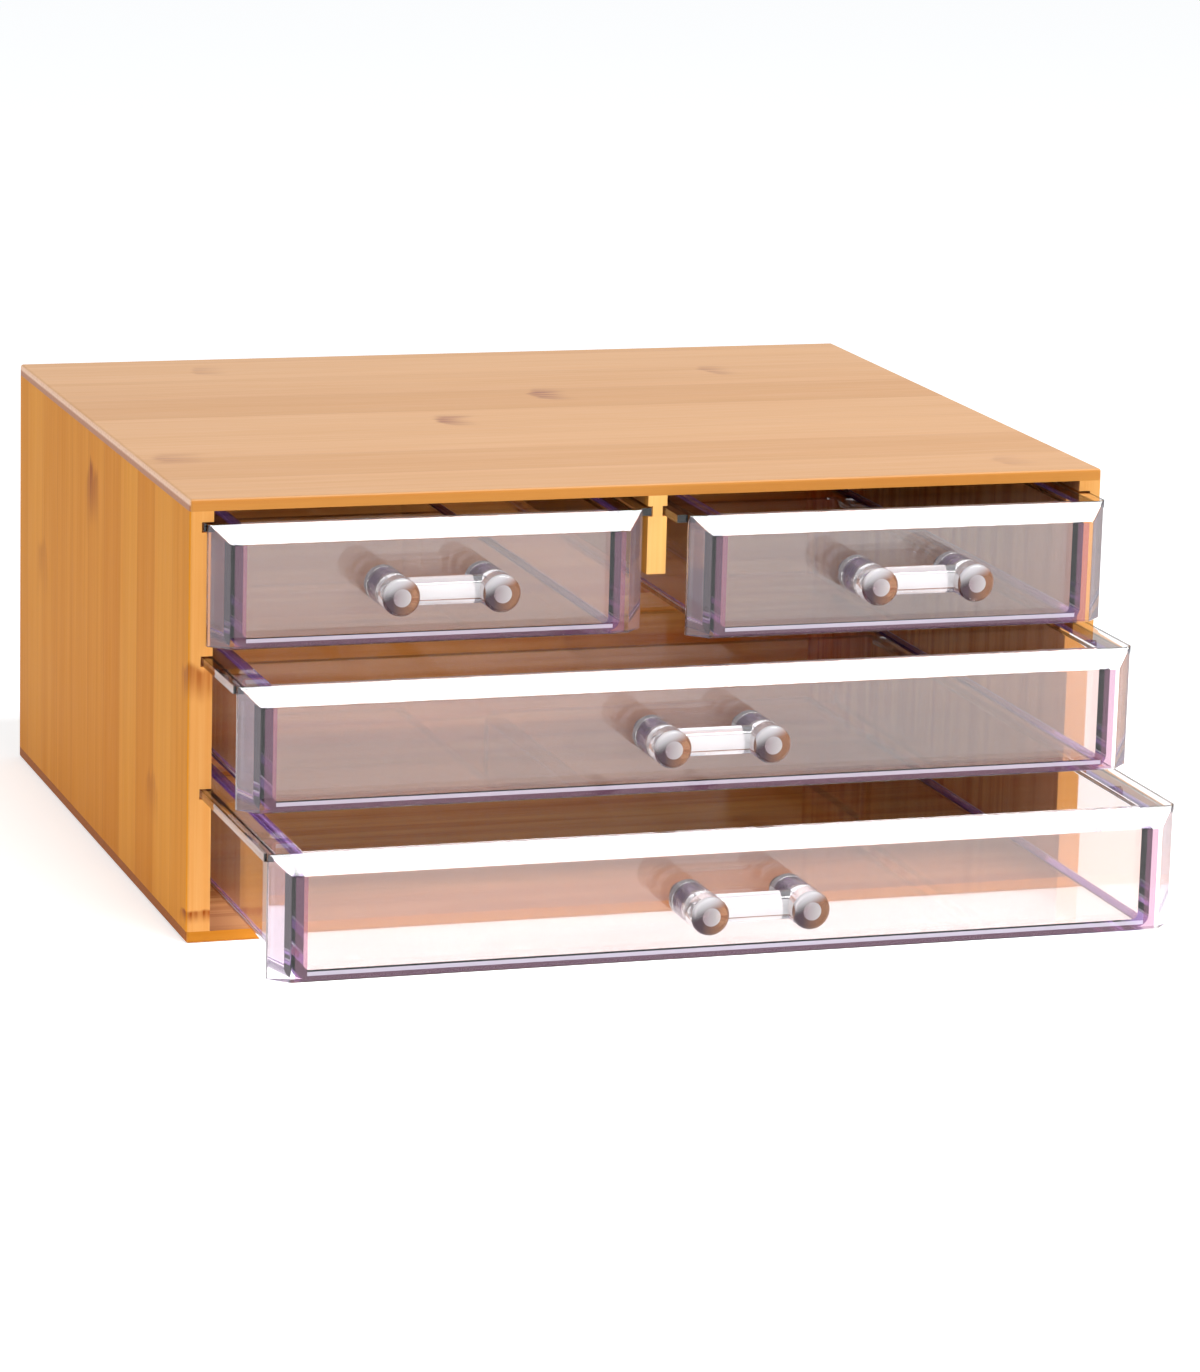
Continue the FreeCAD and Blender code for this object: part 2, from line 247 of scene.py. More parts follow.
def make_grain_group():
    """Strips of cane side by side, each with its own tone, streaks and fine fibres, and the glue lines.

    A strip's number is the place across the grain over the strip's width, rounded down. It gives the strip's
    own tone, and shifts its noises along the grain, so that no streak runs on into the next strip. The tone is
    the sum of the three noises and the strip's own tone, each times its share. The glue line is 1 where two
    strips meet.
    """
    group, given = new_group(
        "bamboo_grain",
        {"Grain": Vector, "Strip Width": float, "Strip Shift": float, "Seed": float},
        ("Tone", "Fibre", "Glue Line", "Streaks"),
    )
    place = add_node(group, "SeparateXYZ", Vector=given["Grain"]).outputs
    strips = add_math(group, "ADD", place[1], given["Strip Shift"])
    strips = add_math(group, "DIVIDE", strips, given["Strip Width"])
    number = add_math(group, "ADD", add_math(group, "FLOOR", strips), given["Seed"])
    strip = add_node(group, "TexWhiteNoise", {"noise_dimensions": "1D"}, W=number).outputs["Value"]
    own_along = add_math(group, "ADD", place[0], add_math(group, "MULTIPLY", strip, strip_offset))
    own_place = (own_along, place[1], place[2])
    broad = stretched_noise(group, own_place, along=5.0, across=150.0, detail=2.0)
    streak = stretched_noise(group, own_place, along=9.0, across=520.0, detail=3.0)
    fibre = stretched_noise(group, own_place, along=38.0, across=2300.0, detail=2.0)
    tone = add_math(group, "MULTIPLY", strip, strip_in_tone)
    tone = add_math(group, "MULTIPLY_ADD", broad, broad_in_tone, tone)
    tone = add_math(group, "MULTIPLY_ADD", streak, streak_in_tone, tone)
    tone = add_math(group, "MULTIPLY_ADD", fibre, fibre_in_tone, tone)
    streaks = add_math(group, "MULTIPLY", streak, streak_in_streaks)
    streaks = add_math(group, "MULTIPLY_ADD", broad, broad_in_streaks, streaks)
    from_line = add_math(group, "PINGPONG", add_math(group, "FRACT", strips), 0.5)
    from_line = add_math(group, "MULTIPLY", from_line, given["Strip Width"])
    end_group(group, {
        "Tone": ramp(group, tone, 0.45, 1.2, smooth=True),
        "Fibre": fibre,
        "Glue Line": ramp(group, from_line, 0.0, glue_line_half, low=1.0, high=0.0),
        "Streaks": ramp(group, streaks, 0.38, 0.60, smooth=True),
    })
    return group


lip_wobble = 1.4
lip_curve = 3.0
lip_start = -0.35
lip_top = 0.05
mark_end = 1.7
mark_middle = 0.10
mark_side = 0.52
between_streaks = 0.35


def make_node_mark_group():
    """A cane's node where it crosses a strip: a dark lip across the fibres that fades out along them.

    The distance along the grain, in lengths of the mark, is bent by noise and by the square of the distance
    across. The mask rises steeply where it passes the lip, falls slowly over the mark's length, and fades
    towards both sides. Streaks break it up. A negative length turns the fade the other way.
    """
    group, given = new_group(
        "cane_node",
        {"Grain": Vector, "Along": float, "Across": float, "Length": float, "Width": float},
        ("Mark",),
    )
    place = add_node(group, "SeparateXYZ", Vector=given["Grain"]).outputs
    wave = stretched_noise(group, place, along=60.0, across=220.0, detail=1.0)
    streak = stretched_noise(group, place, along=12.0, across=700.0, detail=2.0)
    sideways = add_math(group, "SUBTRACT", place[1], given["Across"])
    sideways = add_math(group, "DIVIDE", sideways, given["Width"])
    forward = add_math(group, "SUBTRACT", place[0], given["Along"])
    forward = add_math(group, "DIVIDE", forward, given["Length"])
    wobble = add_math(group, "MULTIPLY_ADD", wave, lip_wobble, -lip_wobble / 2)
    forward = add_math(group, "ADD", forward, wobble)
    curve = add_math(group, "MULTIPLY", add_math(group, "MULTIPLY", sideways, sideways), -lip_curve)
    forward = add_math(group, "ADD", forward, curve)
    rise = ramp(group, forward, lip_start, lip_top, smooth=True)
    fall = ramp(group, forward, lip_top, mark_end, low=1.0, high=0.0, smooth=True)
    aside = add_math(group, "ABSOLUTE", sideways)
    inside = ramp(group, aside, mark_middle, mark_side, low=1.0, high=0.0, smooth=True)
    broken = ramp(group, streak, 0.35, 0.6, low=between_streaks)
    lengthwise = add_math(group, "MULTIPLY", rise, fall)
    crosswise = add_math(group, "MULTIPLY", inside, broken)
    end_group(group, {"Mark": add_math(group, "MULTIPLY", lengthwise, crosswise)})
    return group


dots_to_the_metre = 1100.0


def make_end_grain_group():
    """The cut ends of the fibres: small dots close together, 1 in the middle of each and 0 between them."""
    group, given = new_group("end_grain", {"Grain": Vector}, ("Dots",))
    cells = add_node(group, "TexVoronoi", Vector=given["Grain"], Scale=dots_to_the_metre, Randomness=0.9)
    end_group(group, {"Dots": ramp(group, cells.outputs["Distance"], 0.15, 0.55, low=1.0, high=0.0)})
    return group


grain_group = make_grain_group()
node_mark_group = make_node_mark_group()
end_grain_group = make_end_grain_group()

lacquer_weight = 0.3
lacquer_roughness = 0.30
rough_between_fibres = 0.50
rough_on_fibres = 0.40
fibre_strength = 0.35
fibre_depth = 0.00006
glue_shade = (0.80, 0.70, 0.60, 1)
glue_cover = 0.45
edge_mottling = (0.86, 0.66, 0.42, 1)
edge_cover = 0.85
knot_brown = (0.40, 0.155, 0.05, 1)
# The end grain's pale band along the top is a painted highlight. The dark below it is darker end grain with a
# painted shadow line.
end_pale = (1.0, 0.62, 0.40, 1)
end_dark = (0.44, 0.13, 0.02, 1)
end_line_low = 0.1102
end_line_high = 0.1108
dot_shade = (0.60, 0.42, 0.30, 1)
dot_cover = 0.35
# The inside faces' colours are painted light: dark near the open front, brighter and redder further back.
inside_front_deep = (0.34, 0.13, 0.055, 1)
inside_front_pale = (0.48, 0.23, 0.10, 1)
inside_back_deep = (0.66, 0.17, 0.020, 1)
inside_back_pale = (1.0, 0.47, 0.12, 1)
inside_front_to = -0.085
inside_back_from = -0.01
facing_from = 0.6
facing_full = 0.9


def nearly_facing(tree, turned, most=1.0):
    """0 where the normal's part in a direction is small, and the most where the surface nearly faces it."""
    return ramp(tree, turned, facing_from, facing_full, high=most)


def inside_painted_light(tree, streaks, place_y):
    """The wood inside the case with painted light: dark near the open front, and brighter and redder further
    back.
    """
    near = mix_colours(tree, streaks, inside_front_deep, inside_front_pale)
    far = mix_colours(tree, streaks, inside_back_deep, inside_back_pale)
    return mix_colours(tree, ramp(tree, place_y, inside_front_to, inside_back_from), near, far)


def cut_end(tree, grain, height):
    """The sawn ends of the fibres, finely dotted: pale along the top of the case, a painted highlight at the
    arris, and dark below that, darker end grain with a painted shadow line at the joint.
    """
    over_line = ramp(tree, height, end_line_low, end_line_high)
    colour = mix_colours(tree, over_line, end_dark, end_pale)
    dots = add_math(tree, "MULTIPLY", use_group(tree, end_grain_group, Grain=grain)["Dots"], dot_cover)
    return mix_colours(tree, dots, colour, dot_shade, "MULTIPLY")


def cane_marks(tree, grain, nodes):
    """The strongest of the marks that the cane's nodes leave at each place."""
    marks = 0.0
    for along, across, length, width, strength in nodes:
        mark = use_group(
            tree, node_mark_group, Grain=grain, Along=along, Across=across, Length=length, Width=width
        )["Mark"]
        marks = add_math(tree, "MAXIMUM", marks, add_math(tree, "MULTIPLY", mark, strength))
    return marks


def make_bamboo(name, along, across, pale, deep, edge, strip_width, strip_shift, seed, shine, inward, nodes):
    """Lacquered bamboo whose strips run along one axis and lie side by side on another.

    Each node is its place along and across the grain, its length and width, in metres, and its strength. Faces
    to the front and back have the edge's colour, the face towards the drawers, which inward tells by its sign,
    has painted light, dark near the open front and redder further back, and faces that cut the fibres show end
    grain.
    """
    material = new_material(name)
    tree = material.node_tree
    coordinates = add_node(tree, "TexCoord").outputs
    place = add_node(tree, "SeparateXYZ", Vector=coordinates["Object"]).outputs
    facing = add_node(tree, "SeparateXYZ", Vector=coordinates["Normal"]).outputs
    through = next(axis for axis in (X, Y, Z) if axis not in (along, across))
    grain = add_node(tree, "CombineXYZ", _0=place[along], _1=place[across], _2=place[through]).outputs[0]
    cane = use_group(
        tree, grain_group, Grain=grain, Strip_Width=strip_width, Strip_Shift=strip_shift, Seed=seed
    )
    to_edge = nearly_facing(tree, add_math(tree, "ABSOLUTE", facing[Y]), edge_cover)
    to_drawers = nearly_facing(tree, add_math(tree, "MULTIPLY", facing[through], inward))
    to_cut = nearly_facing(tree, add_math(tree, "ABSOLUTE", facing[along]))
    edge_deep = tuple(part * fade for part, fade in zip(edge, edge_mottling))
    edge_colour = mix_colours(tree, cane["Tone"], edge_deep, edge)
    colour = mix_colours(tree, cane["Tone"], deep, pale)
    glued = add_math(tree, "MULTIPLY", cane["Glue Line"], glue_cover)
    colour = mix_colours(tree, glued, colour, glue_shade, "MULTIPLY")
    colour = mix_colours(tree, to_edge, colour, edge_colour)
    colour = mix_colours(tree, to_drawers, colour, inside_painted_light(tree, cane["Streaks"], place[Y]))
    colour = mix_colours(tree, cane_marks(tree, grain, nodes), colour, knot_brown, "MULTIPLY")
    colour = mix_colours(tree, to_cut, colour, cut_end(tree, grain, place[Z]))
    satin = ramp(tree, cane["Fibre"], 0.3, 0.7, low=rough_between_fibres, high=rough_on_fibres)
    ridges = add_node(
        tree, "Bump", Strength=fibre_strength, Distance=fibre_depth, Height=cane["Fibre"]
    ).outputs[0]
    wood = add_node(
        tree, "BsdfPrincipled", Base_Color=colour, Roughness=satin, Normal=ridges, Specular_IOR_Level=shine,
        Coat_Weight=lacquer_weight * shine, Coat_Roughness=lacquer_roughness,
    )
    add_node(tree, "OutputMaterial", Surface=wood.outputs[0])
    return material


def finish_node(name, material):
    """Gives a piece its finish, in place of the plain one that it came with."""
    mesh = frame["nodes"][name].data
    mesh.materials.clear()
    mesh.materials.append(material)


top_pale = (0.657, 0.345, 0.141, 1)
top_deep = (0.563, 0.262, 0.079, 1)
top_edge = (0.52, 0.205, 0.013, 1)
top_strip = 0.028
# Each cane node is its place along and across the grain, its length and width, and its strength.
top_nodes = [
    (0.007, 0.030, 0.0060, 0.022, 1.00),
    (-0.029, -0.005, 0.0060, 0.020, 0.85),
    (0.068, 0.060, 0.0050, 0.020, 0.55),
    (-0.116, -0.046, 0.0080, 0.020, 0.45),
    (0.098, -0.085, 0.0060, 0.020, 0.35),
    (-0.074, 0.080, 0.0050, 0.020, 0.35),
]
bottom_nodes = [(0.05, -0.03, 0.006, 0.022, 0.6)]
side_pale = (0.90, 0.37, 0.036, 1)
side_deep = (0.74, 0.25, 0.005, 1)
side_edge = (0.71, 0.39, 0.145, 1)
side_strip = 0.019
side_nodes = [(0.100, 0.008, -0.0110, 0.018, 0.85), (0.034, -0.062, -0.0080, 0.018, 0.35)]
left_nodes = [
    (0.066, 0.070, -0.0080, 0.018, 0.30),
    (0.0080, -0.0990, -0.0020, 0.0140, 1.00),
    (0.0690, -0.0985, -0.0050, 0.0140, 0.75),
]
back_pale = (0.84, 0.44, 0.13, 1)
back_deep = (0.68, 0.30, 0.05, 1)
back_strip = 0.022
back_nodes = [(0.04, 0.06, 0.006, 0.018, 0.6)]
# The centre rail's front edge is painted lighter than the sides' edges, to offset the shade between the top
# drawers' fronts.
rail_edge = (1.0, 0.64, 0.26, 1)
soft_shine = 0.03
boards = {
    "top_panel": dict(
        along=X, across=Y, pale=top_pale, deep=top_deep, edge=top_edge, strip_width=top_strip,
        strip_shift=0.018, seed=3.0, shine=0.35, inward=-1, nodes=top_nodes,
    ),
    "bottom_panel": dict(
        along=X, across=Y, pale=top_pale, deep=side_deep, edge=top_edge, strip_width=top_strip,
        strip_shift=0.004, seed=11.0, shine=soft_shine, inward=1, nodes=bottom_nodes,
    ),
    "left_side": dict(
        along=Z, across=Y, pale=side_pale, deep=side_deep, edge=side_edge, strip_width=side_strip,
        strip_shift=0.006, seed=21.0, shine=soft_shine, inward=1, nodes=side_nodes + left_nodes,
    ),
    "right_side": dict(
        along=Z, across=Y, pale=side_pale, deep=side_deep, edge=side_edge, strip_width=side_strip,
        strip_shift=0.011, seed=35.0, shine=soft_shine, inward=-1, nodes=side_nodes,
    ),
    "back_panel": dict(
        along=X, across=Z, pale=back_pale, deep=back_deep, edge=back_deep, strip_width=back_strip,
        strip_shift=0.003, seed=47.0, shine=soft_shine, inward=-1, nodes=back_nodes,
    ),
    "centre_rail": dict(
        along=Z, across=Y, pale=top_pale, deep=side_pale, edge=rail_edge, strip_width=side_strip,
        strip_shift=0.002, seed=58.0, shine=0.2, inward=0, nodes=[],
    ),
}
for board_name, board in boards.items():
    finish_node(board_name, make_bamboo("bamboo_" + board_name, **board))


# The clear drawers
# Each drawer is one moulding of clear styrene with its front plate, floor, walls and hanging rims, polished in
# the mould. Thick places look faintly mauve, and daily use leaves a very light haze on the walls' outer faces.
# The warm haze on the back of the front is a painted reflection of the room and of the wood's light.
clear_bend = 1.57
coat_bend = 1.8
coat_roughness = 0.02
lamp_tint = (0.97, 0.965, 0.97, 1)
smudges_on_plastic = 45.0


def make_wear_group():
    """Handling marks: soft smudges from a noise, as many to the metre as its scale says."""
    group, given = new_group("handling_marks", {"Place": Vector, "Scale": float}, ("Smudge",))
    smudge = add_node(group, "TexNoise", Vector=given["Place"], Scale=given["Scale"], Detail=3.0).outputs[0]
    end_group(group, {"Smudge": smudge})
    return group


wear_group = make_wear_group()


def make_clear_plastic(name, clear_share, tint, gloss, hard_coat=0.0):
    """Clear moulded plastic that lets lamp light through. What isn't clear is a fine haze of its tint.

    Gloss is the roughness of smooth and of worn places. A hard coat of scratch-resistant lacquer mirrors more
    of the room than the bare plastic does.
    """
    material = new_material(name)
    tree = material.node_tree
    place = add_node(tree, "TexCoord").outputs["Object"]
    wear = use_group(tree, wear_group, Place=place, Scale=smudges_on_plastic)
    smooth_gloss, worn_gloss = gloss
    roughness = ramp(tree, wear["Smudge"], 0.35, 0.75, low=smooth_gloss, high=worn_gloss)
    clear = add_node(
        tree, "BsdfPrincipled", Base_Color=tint, Roughness=roughness, IOR=clear_bend,
        Transmission_Weight=clear_share, Coat_Weight=hard_coat, Coat_IOR=coat_bend,
        Coat_Roughness=coat_roughness,
    )
    lamp_way = add_node(tree, "BsdfTransparent", Color=lamp_tint)
    shadow_ray = add_node(tree, "LightPath").outputs["Is Shadow Ray"]
    mix = add_node(tree, "MixShader", Fac=shadow_ray, _1=clear.outputs[0], _2=lamp_way.outputs[0])
    add_node(tree, "OutputMaterial", Surface=mix.outputs[0])
    return material


# Light that runs along a wall or the floor picks up the plastic's mauve and comes out at their ends behind
# the front and at their lower edges. There it is painted light, in finishes of their own: painted mauve on the
# front before those ends, a painted pale highlight line over the front's foot, painted shade in dark violet on
# the walls' lower edges, and a painted lilac tint on the front's end bevels.
rubbed = (0.02, 0.06)
polished = make_clear_plastic(
    "polished_plastic", clear_share=1.0, tint=(0.97, 0.955, 0.97, 1), gloss=(0.010, 0.035)
)
rubbed_side = make_clear_plastic("rubbed_side", clear_share=0.97, tint=(0.95, 0.84, 0.84, 1), gloss=rubbed)
painted_violet_edge = make_clear_plastic("painted_violet_edge", clear_share=0.50, tint=(0.14, 0.055, 0.27, 1), gloss=rubbed)
painted_mauve_band = make_clear_plastic("painted_mauve_band", clear_share=0.79, tint=(0.54, 0.25, 0.39, 1), gloss=rubbed)
painted_pale_line = make_clear_plastic("painted_pale_line", clear_share=0.36, tint=(0.76, 0.68, 0.82, 1), gloss=rubbed)
end_bevel = make_clear_plastic("end_bevel", clear_share=0.88, tint=(0.88, 0.74, 0.85, 1), gloss=rubbed)
# front_inside's warm haze on the back of the front is a painted reflection of the room and of the wood's
# light.
front_inside = make_clear_plastic(
    "front_inside", clear_share=0.84, tint=(0.99, 0.755, 0.665, 1), gloss=(0.02, 0.04), hard_coat=0.30
)

sharp_angle = math.radians(28)
flat_angle = math.radians(0.2)
weld_distance = 0.000001
equal_area = 0.0000001
on_front_play = 0.00001
plane_play = 0.00005


def weld_mesh(name):
    """A piece's mesh with its corners merged and its flat faces made whole."""
    welded = bmesh.new()
    welded.from_mesh(frame["nodes"][name].data)
    bmesh.ops.remove_doubles(welded, verts=welded.verts, dist=weld_distance)
    bmesh.ops.dissolve_limit(welded, angle_limit=flat_angle, verts=welded.verts, edges=welded.edges)
    return welded


def place_copy(name, body, welded):
    """The welded mesh as a smooth-shaded piece, which rides on its body and takes the plain piece's place."""
    mesh = frame["nodes"][name].data.copy()
    welded.to_mesh(mesh)
    welded.free()
    mesh.shade_smooth()
    mesh.set_sharp_from_angle(angle=sharp_angle)
    piece = bpy.data.objects.new("clear_" + name, mesh)
    bpy.context.scene.collection.objects.link(piece)
    true_flats = piece.modifiers.new("true_flats", "WEIGHTED_NORMAL")
    true_flats.mode = "FACE_AREA"
    true_flats.weight = 100
    true_flats.thresh = equal_area
    true_flats.keep_sharp = True
    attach(piece, body)
    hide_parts(name)
    return piece


def front_faces(welded):
    """The flat faces on the piece's front plane."""
    front = min(vert.co.y for vert in welded.verts)
    return [face for face in welded.faces if all(vert.co.y < front + on_front_play for vert in face.verts)]


def mesh_points(mesh):
    """The corners of a mesh, one row each."""
    points = np.empty(len(mesh.vertices) * 3)
    mesh.vertices.foreach_get("co", points)
    return points.reshape(-1, 3)


def face_limits(mesh):
    """The lowest and highest corner of each face's box, as two arrays."""
    corners = np.empty(len(mesh.loops), dtype=np.int32)
    mesh.loops.foreach_get("vertex_index", corners)
    starts = np.empty(len(mesh.polygons), dtype=np.int32)
    mesh.polygons.foreach_get("loop_start", starts)
    corner_points = mesh_points(mesh)[corners]
    return np.minimum.reduceat(corner_points, starts), np.maximum.reduceat(corner_points, starts)


def finish_faces(piece, plain, marked):
    """Gives a piece its plain finish and each set of marked faces its own. A later set covers earlier ones."""
    numbers = np.zeros(len(piece.data.polygons), dtype=np.int32)
    piece.data.materials.clear()
    piece.data.materials.append(plain)
    for number, (faces, finish) in enumerate(marked, start=1):
        piece.data.materials.append(finish)
        numbers[faces] = number
    piece.data.polygons.foreach_set("material_index", numbers)


# The drawer's own sizes, and the room that an opening's box leaves between itself and the plastic.
opening_room = 0.0006
wall_thickness = 0.003
screw_head = 0.002
edge_radius = 0.003
bevel_depth = 0.0045
floor_line = 0.0010
wall_play = 0.001
wall_and_room = wall_thickness + opening_room
head_and_room = screw_head + opening_room


def cut_front(welded, low, high):
    """Cuts the front's flat along both faces of the side walls, over the floor and under a thin line there.

    Low and high are the corners of the opening's box, which is a little smaller than the room in the drawer.
    """
    across = [low[X] - opening_room, low[X] - wall_and_room, high[X] + opening_room, high[X] + wall_and_room]
    upwards = [low[Z], low[Z] - floor_line]
    cuts = [(Vector((x, 0, 0)), Vector((1, 0, 0))) for x in across]
    cuts += [(Vector((0, 0, z)), Vector((0, 0, 1))) for z in upwards]
    for place, direction in cuts:
        flats = front_faces(welded)
        parts = set(flats)
        for face in flats:
            parts.update(face.edges)
            parts.update(face.verts)
        bmesh.ops.bisect_plane(
            welded, geom=list(parts), plane_co=place, plane_no=direction, dist=weld_distance
        )


def finish_tray(tray, low, high):
    """Gives each face of a tray its finish, by the plane that it lies on.

    The opening's box is the ruler. The walls' outer faces are a wall and some room beside the box, and the
    back of the front is a screw's head and as much room before it. A wall's lower edge is the faces that reach
    no further than its radius from the outer face and from the bottom; it gets painted shade in dark violet.
    The mauve band is the front's flat before the ends of the walls and the floor, painted mauve for the light
    that comes out there. A painted pale line, a painted highlight, lies over the front's foot, and one where
    the lower edge's radius runs out into the outer face. The bevels are the slopes at the front's two ends,
    with a painted lilac tint.
    """
    face_low, face_high = face_limits(tray.data)
    front = face_low[:, Y].min()
    front_back = low[Y] - head_and_room
    wall_left = low[X] - wall_and_room
    wall_right = high[X] + wall_and_room

    def lies_on(axis, plane):
        return np.maximum(np.abs(face_low[:, axis] - plane), np.abs(face_high[:, axis] - plane)) < plane_play

    between_walls = (face_low[:, X] > low[X] - wall_play) & (face_high[:, X] < high[X] + wall_play)
    inner = lies_on(Y, front_back) & between_walls
    sides = lies_on(X, wall_left) | lies_on(X, wall_right)
    at_bottom = face_high[:, Z] < face_low[:, Z].min() + edge_radius + plane_play
    behind = face_low[:, Y] > front_back - plane_play
    left_edge = face_high[:, X] < wall_left + edge_radius + plane_play
    right_edge = face_low[:, X] > wall_right - edge_radius - plane_play
    edges = at_bottom & behind & (left_edge | right_edge)
    on_front = lies_on(Y, front)
    before_walls = face_high[:, X] < low[X] - opening_room + plane_play
    before_walls |= face_low[:, X] > high[X] + opening_room - plane_play
    before_floor = face_high[:, Z] < low[Z] + plane_play
    before_tray = (face_low[:, X] > wall_left - plane_play) & (face_high[:, X] < wall_right + plane_play)
    mauve_band_faces = on_front & before_tray & (before_walls | before_floor)
    pale_lines = mauve_band_faces & ~before_walls & (face_low[:, Z] > low[Z] - floor_line - plane_play)
    pale_lines |= sides & edges
    bevels = (face_high[:, Y] < front + bevel_depth + plane_play) & ~on_front
    bevels &= (face_high[:, X] < wall_left) | (face_low[:, X] > wall_right)
    finish_faces(tray, polished, (
        (inner, front_inside), (sides, rubbed_side), (edges, painted_violet_edge),
        (mauve_band_faces, painted_mauve_band), (pale_lines, painted_pale_line), (bevels, end_bevel),
    ))


opening_boxes = {opening["name"]: opening["box_m"] for opening in frame["record"]["physics"]["openings"]}
drawer_names = ("bottom", "middle", "top_left", "top_right")
for drawer_name in drawer_names:
    drawer_node = "drawer_" + drawer_name
    drawer_body = drawer_name + "_drawer"
    opening_low, opening_high = opening_boxes[drawer_body + "_inside"]
    drawer_mesh = weld_mesh(drawer_node)
    cut_front(drawer_mesh, opening_low, opening_high)
    finish_tray(place_copy(drawer_node, drawer_body, drawer_mesh), opening_low, opening_high)


# The pulls
# A pull is one moulding of the same clear plastic, two round posts with a bar across them. It stands on the
# drawer's front, held by screws. Its round ends carry painted light: a painted highlight on top, painted shade
# at the lower left, and at the lower right pale discs and rings in a painted brown reflection of the wood.
light_slant = 0.45


def paint_post_end_light(material, low_left, low_right):
    """Paints light onto a finish round a post: its tint stays on top as a painted highlight, and two more
    tints paint the lower left in shade and the lower right in reflected light.

    The attribute round_post gives each place in radii from the post's axis. The lower tint goes from the left
    one to the right one across it, and the upper one comes in with the height less a part of the way right.
    """
    tree = material.node_tree
    base_colour = tree.nodes["Principled BSDF"].inputs["Base Color"]
    on_post = add_node(tree, "Attribute", {"attribute_name": "round_post"}).outputs["Vector"]
    right, _, up = add_node(tree, "SeparateXYZ", Vector=on_post).outputs
    low = mix_colours(tree, ramp(tree, right, -0.5, 0.5), low_left, low_right)
    upward = ramp(tree, add_math(tree, "MULTIPLY_ADD", right, -light_slant, up), 0.15, 1.0, smooth=True)
    tree.links.new(mix_colours(tree, upward, low, tuple(base_colour.default_value)), base_colour)


handled = (0.010, 0.030)
pull_posts = make_clear_plastic("pull_posts", clear_share=0.92, tint=(0.97, 0.95, 0.98, 1), gloss=handled)
# The bar's milky haze is painted light: it stands in for the light that the clear bar gathers from above.
pull_bar = make_clear_plastic("pull_bar", clear_share=0.60, tint=(0.98, 0.96, 0.98, 1), gloss=handled)
# pull_shade is painted shade: a dark brown finish for the bar's underside and the rings' inner edges.
pull_shade = make_clear_plastic("pull_shade", clear_share=0.52, tint=(0.30, 0.12, 0.06, 1), gloss=handled)
pull_ends = make_clear_plastic("pull_ends", clear_share=0.64, tint=(0.98, 0.96, 0.98, 1), gloss=handled)
pull_rings = make_clear_plastic("pull_rings", clear_share=0.52, tint=(0.95, 0.92, 0.95, 1), gloss=handled)
# The posts' ends and rims get painted light: a painted highlight on top, painted shade at the lower left, and
# at the lower right pale discs and a painted brown reflection of the wood on the rings.
paint_post_end_light(pull_ends, low_left=(0.45, 0.30, 0.34, 1), low_right=(0.98, 0.92, 0.90, 1))
paint_post_end_light(pull_rings, low_left=(0.04, 0.005, 0.015, 1), low_right=(0.36, 0.12, 0.035, 1))

post_radius = 0.00475
bar_from = 0.0090
bar_shade_from = 0.0014
rim_radius = 0.0012
ring_width = 0.0013
disc_least = 0.003


def finish_pull(pull):
    """Gives each face of a pull its finish, by where it lies.

    The bar's faces begin just before the posts' inner edges. A disc lies on the front plane, within its ring,
    and the ring reaches no further back from that plane than the rim's radius. The bar's underside and the
    rings' inner edges get painted shade, a dark brown finish.
    """
    face_low, face_high = face_limits(pull.data)
    left, front, bottom = face_low.min(axis=0)
    right, _, top = face_high.max(axis=0)
    bar = (face_low[:, X] > left + bar_from) & (face_high[:, X] < right - bar_from)
    underside = bar & (face_high[:, Z] < (bottom + top) / 2 - bar_shade_from)
    discs = (face_high[:, Y] < front + on_front_play) & (face_high[:, X] - face_low[:, X] > disc_least)
    rings = (face_high[:, Y] < front + rim_radius + plane_play) & ~discs
    finish_faces(pull, pull_posts, (
        (bar, pull_bar), (discs, pull_ends), (rings, pull_rings), (underside | (bar & rings), pull_shade),
    ))


def measure_posts(pull):
    """Gives each corner its place on its post: how far right of the post's axis and above it, in radii."""
    points = mesh_points(pull.data)
    low, high = points.min(axis=0), points.max(axis=0)
    middle = (low + high) / 2
    axis_x = np.where(points[:, X] < middle[X], low[X] + post_radius, high[X] - post_radius)
    on_post = np.zeros_like(points)
    on_post[:, X] = (points[:, X] - axis_x) / post_radius
    on_post[:, Z] = (points[:, Z] - middle[Z]) / post_radius
    round_post = pull.data.attributes.new("round_post", "FLOAT_VECTOR", "POINT")
    round_post.data.foreach_set("vector", on_post.ravel())


for drawer_name in drawer_names:
    pull_node = "handle_" + drawer_name
    pull_mesh = weld_mesh(pull_node)
    bmesh.ops.inset_individual(pull_mesh, faces=front_faces(pull_mesh), thickness=ring_width)
    pull = place_copy(pull_node, drawer_name + "_drawer", pull_mesh)
    finish_pull(pull)
    measure_posts(pull)


# The pulls' screws
# Two small pan-head screws of zinc-plated steel hold each pull from inside the drawer. Each cuts its thread in
# the pull's post, where it shows dark through the clear plastic. Their metal is painted almost black violet,
# as painted shade, though real zinc plate is bright.
painted_screw_shade = (0.045, 0.015, 0.08, 1)
zinc_bright = 0.22
zinc_smudged = 0.38
smudges_on_zinc = 400.0


def make_zinc():
    """Zinc-plated steel with smudged polish, its colour painted almost black violet as shade."""
    material = new_material("zinc_plate")
    tree = material.node_tree
    place = add_node(tree, "TexCoord").outputs["Object"]
    wear = use_group(tree, wear_group, Place=place, Scale=smudges_on_zinc)
    gloss = ramp(tree, wear["Smudge"], 0.3, 0.7, low=zinc_bright, high=zinc_smudged)
    steel = add_node(tree, "BsdfPrincipled", Base_Color=painted_screw_shade, Roughness=gloss, Metallic=1.0)
    add_node(tree, "OutputMaterial", Surface=steel.outputs[0])
    return material


zinc = make_zinc()
head_radius = 0.003
thread_core = 0.00145
thread_height = 0.0004
thread_pitch = 0.0012
thread_length = 0.0079
thread_sides = 24
rows_per_turn = 8


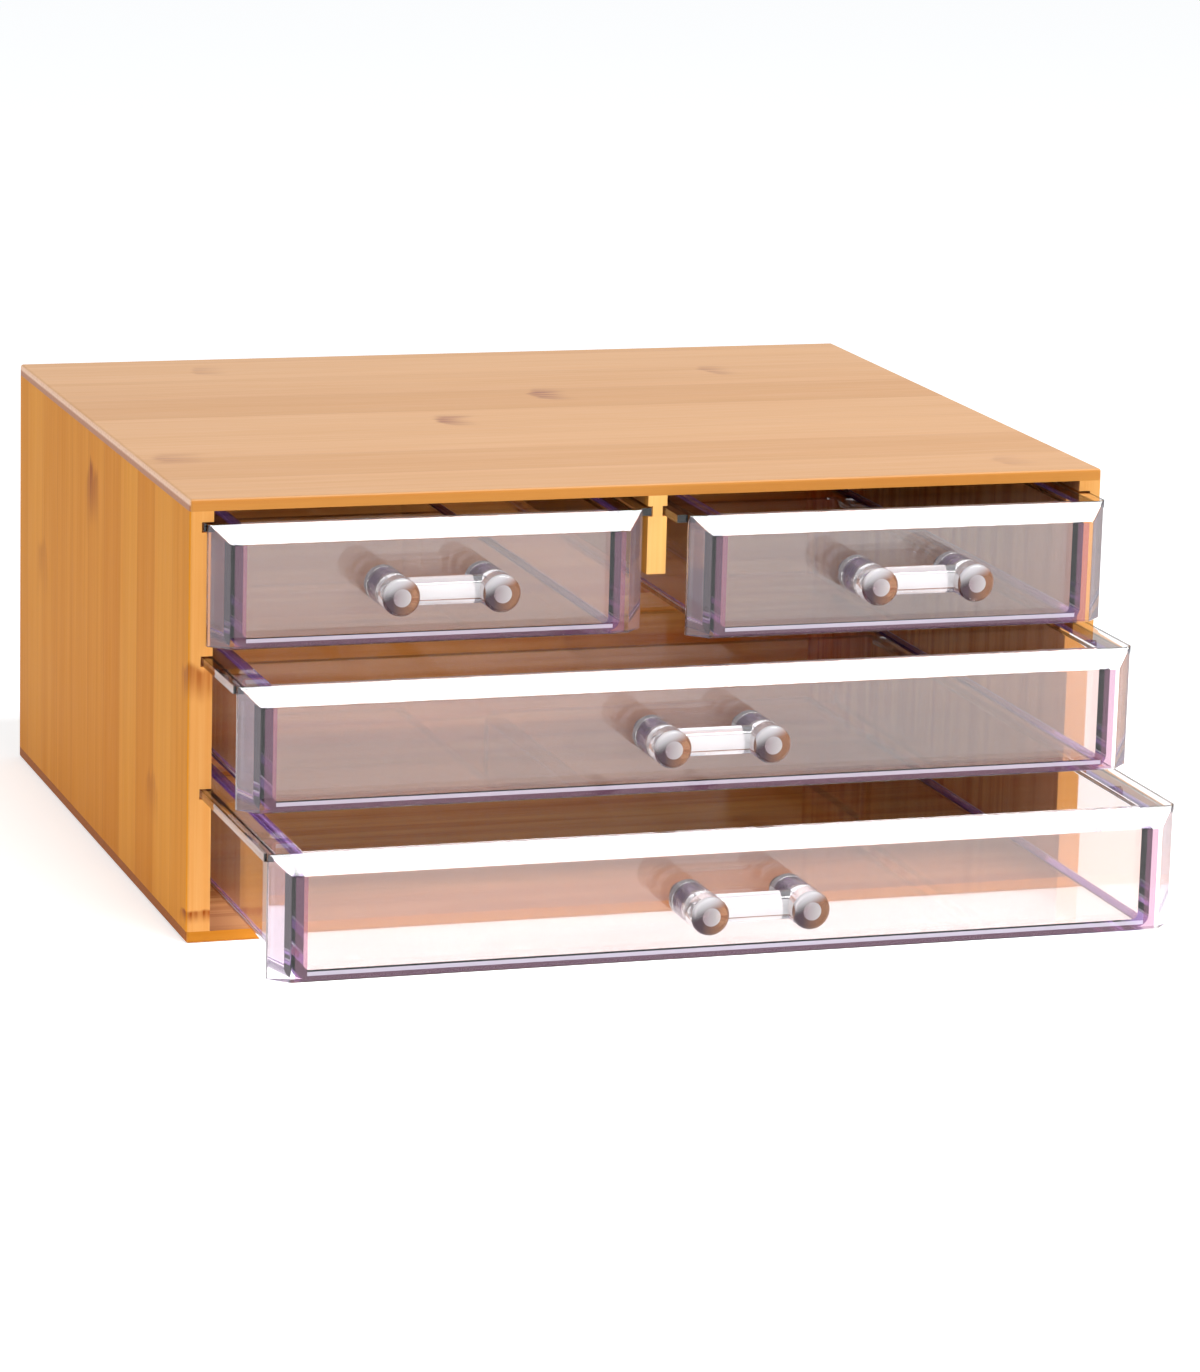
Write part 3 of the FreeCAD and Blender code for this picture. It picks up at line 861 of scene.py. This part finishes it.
def thread_surface(axis_x, axis_z, seat_y, length):
    """The points and faces of one thread, a closed surface round a line along Y.

    At distance d from the seat and turn a, the radius is the core's plus the thread's height times a triangle
    wave of d / pitch - a / (2 pi). The height grows from nothing over the first turn and fades over the last.
    """
    rows = int(length / thread_pitch * rows_per_turn) + 1
    distance = np.linspace(0.0, length, rows)[:, None]
    turn = np.linspace(0.0, 2.0 * np.pi, thread_sides, endpoint=False)[None, :]
    wave = 1.0 - np.abs(2.0 * np.mod(distance / thread_pitch - turn / (2.0 * np.pi), 1.0) - 1.0)
    fade = np.clip(np.minimum(distance, length - distance) / thread_pitch, 0.0, 1.0)
    radius = thread_core + thread_height * wave * fade
    x = axis_x + radius * np.sin(turn)
    z = axis_z + radius * np.cos(turn)
    y = np.broadcast_to(seat_y - distance, x.shape)
    points = np.stack((x, y, z), axis=-1).reshape(-1, 3)
    first = np.arange((rows - 1) * thread_sides).reshape(rows - 1, thread_sides)
    beside = np.roll(first, -1, axis=1)
    quads = np.stack((first, beside, beside + thread_sides, first + thread_sides), axis=-1).reshape(-1, 4)
    seat_end = list(range(thread_sides))
    tip_end = list(range((rows - 1) * thread_sides, rows * thread_sides))
    return points, quads.tolist() + [seat_end[::-1], tip_end]


for drawer_name in drawer_names:
    screws = "handle_screws_" + drawer_name
    finish_node(screws, zinc)
    low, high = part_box(screws)
    thread_points, thread_faces = [], []
    for axis_x in (low[X] + head_radius, high[X] - head_radius):
        points, faces = thread_surface(axis_x, (low[Z] + high[Z]) / 2, low[Y] + thread_length, thread_length)
        before = sum(len(part) for part in thread_points)
        thread_points.append(points)
        thread_faces += [[corner + before for corner in face] for face in faces]
    thread_mesh = bpy.data.meshes.new("screw_threads_" + drawer_name)
    thread_mesh.from_pydata(np.concatenate(thread_points).tolist(), [], thread_faces)
    thread_mesh.materials.append(zinc)
    threads = bpy.data.objects.new("screw_threads_" + drawer_name, thread_mesh)
    bpy.context.scene.collection.objects.link(threads)
    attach(threads, drawer_name + "_drawer")
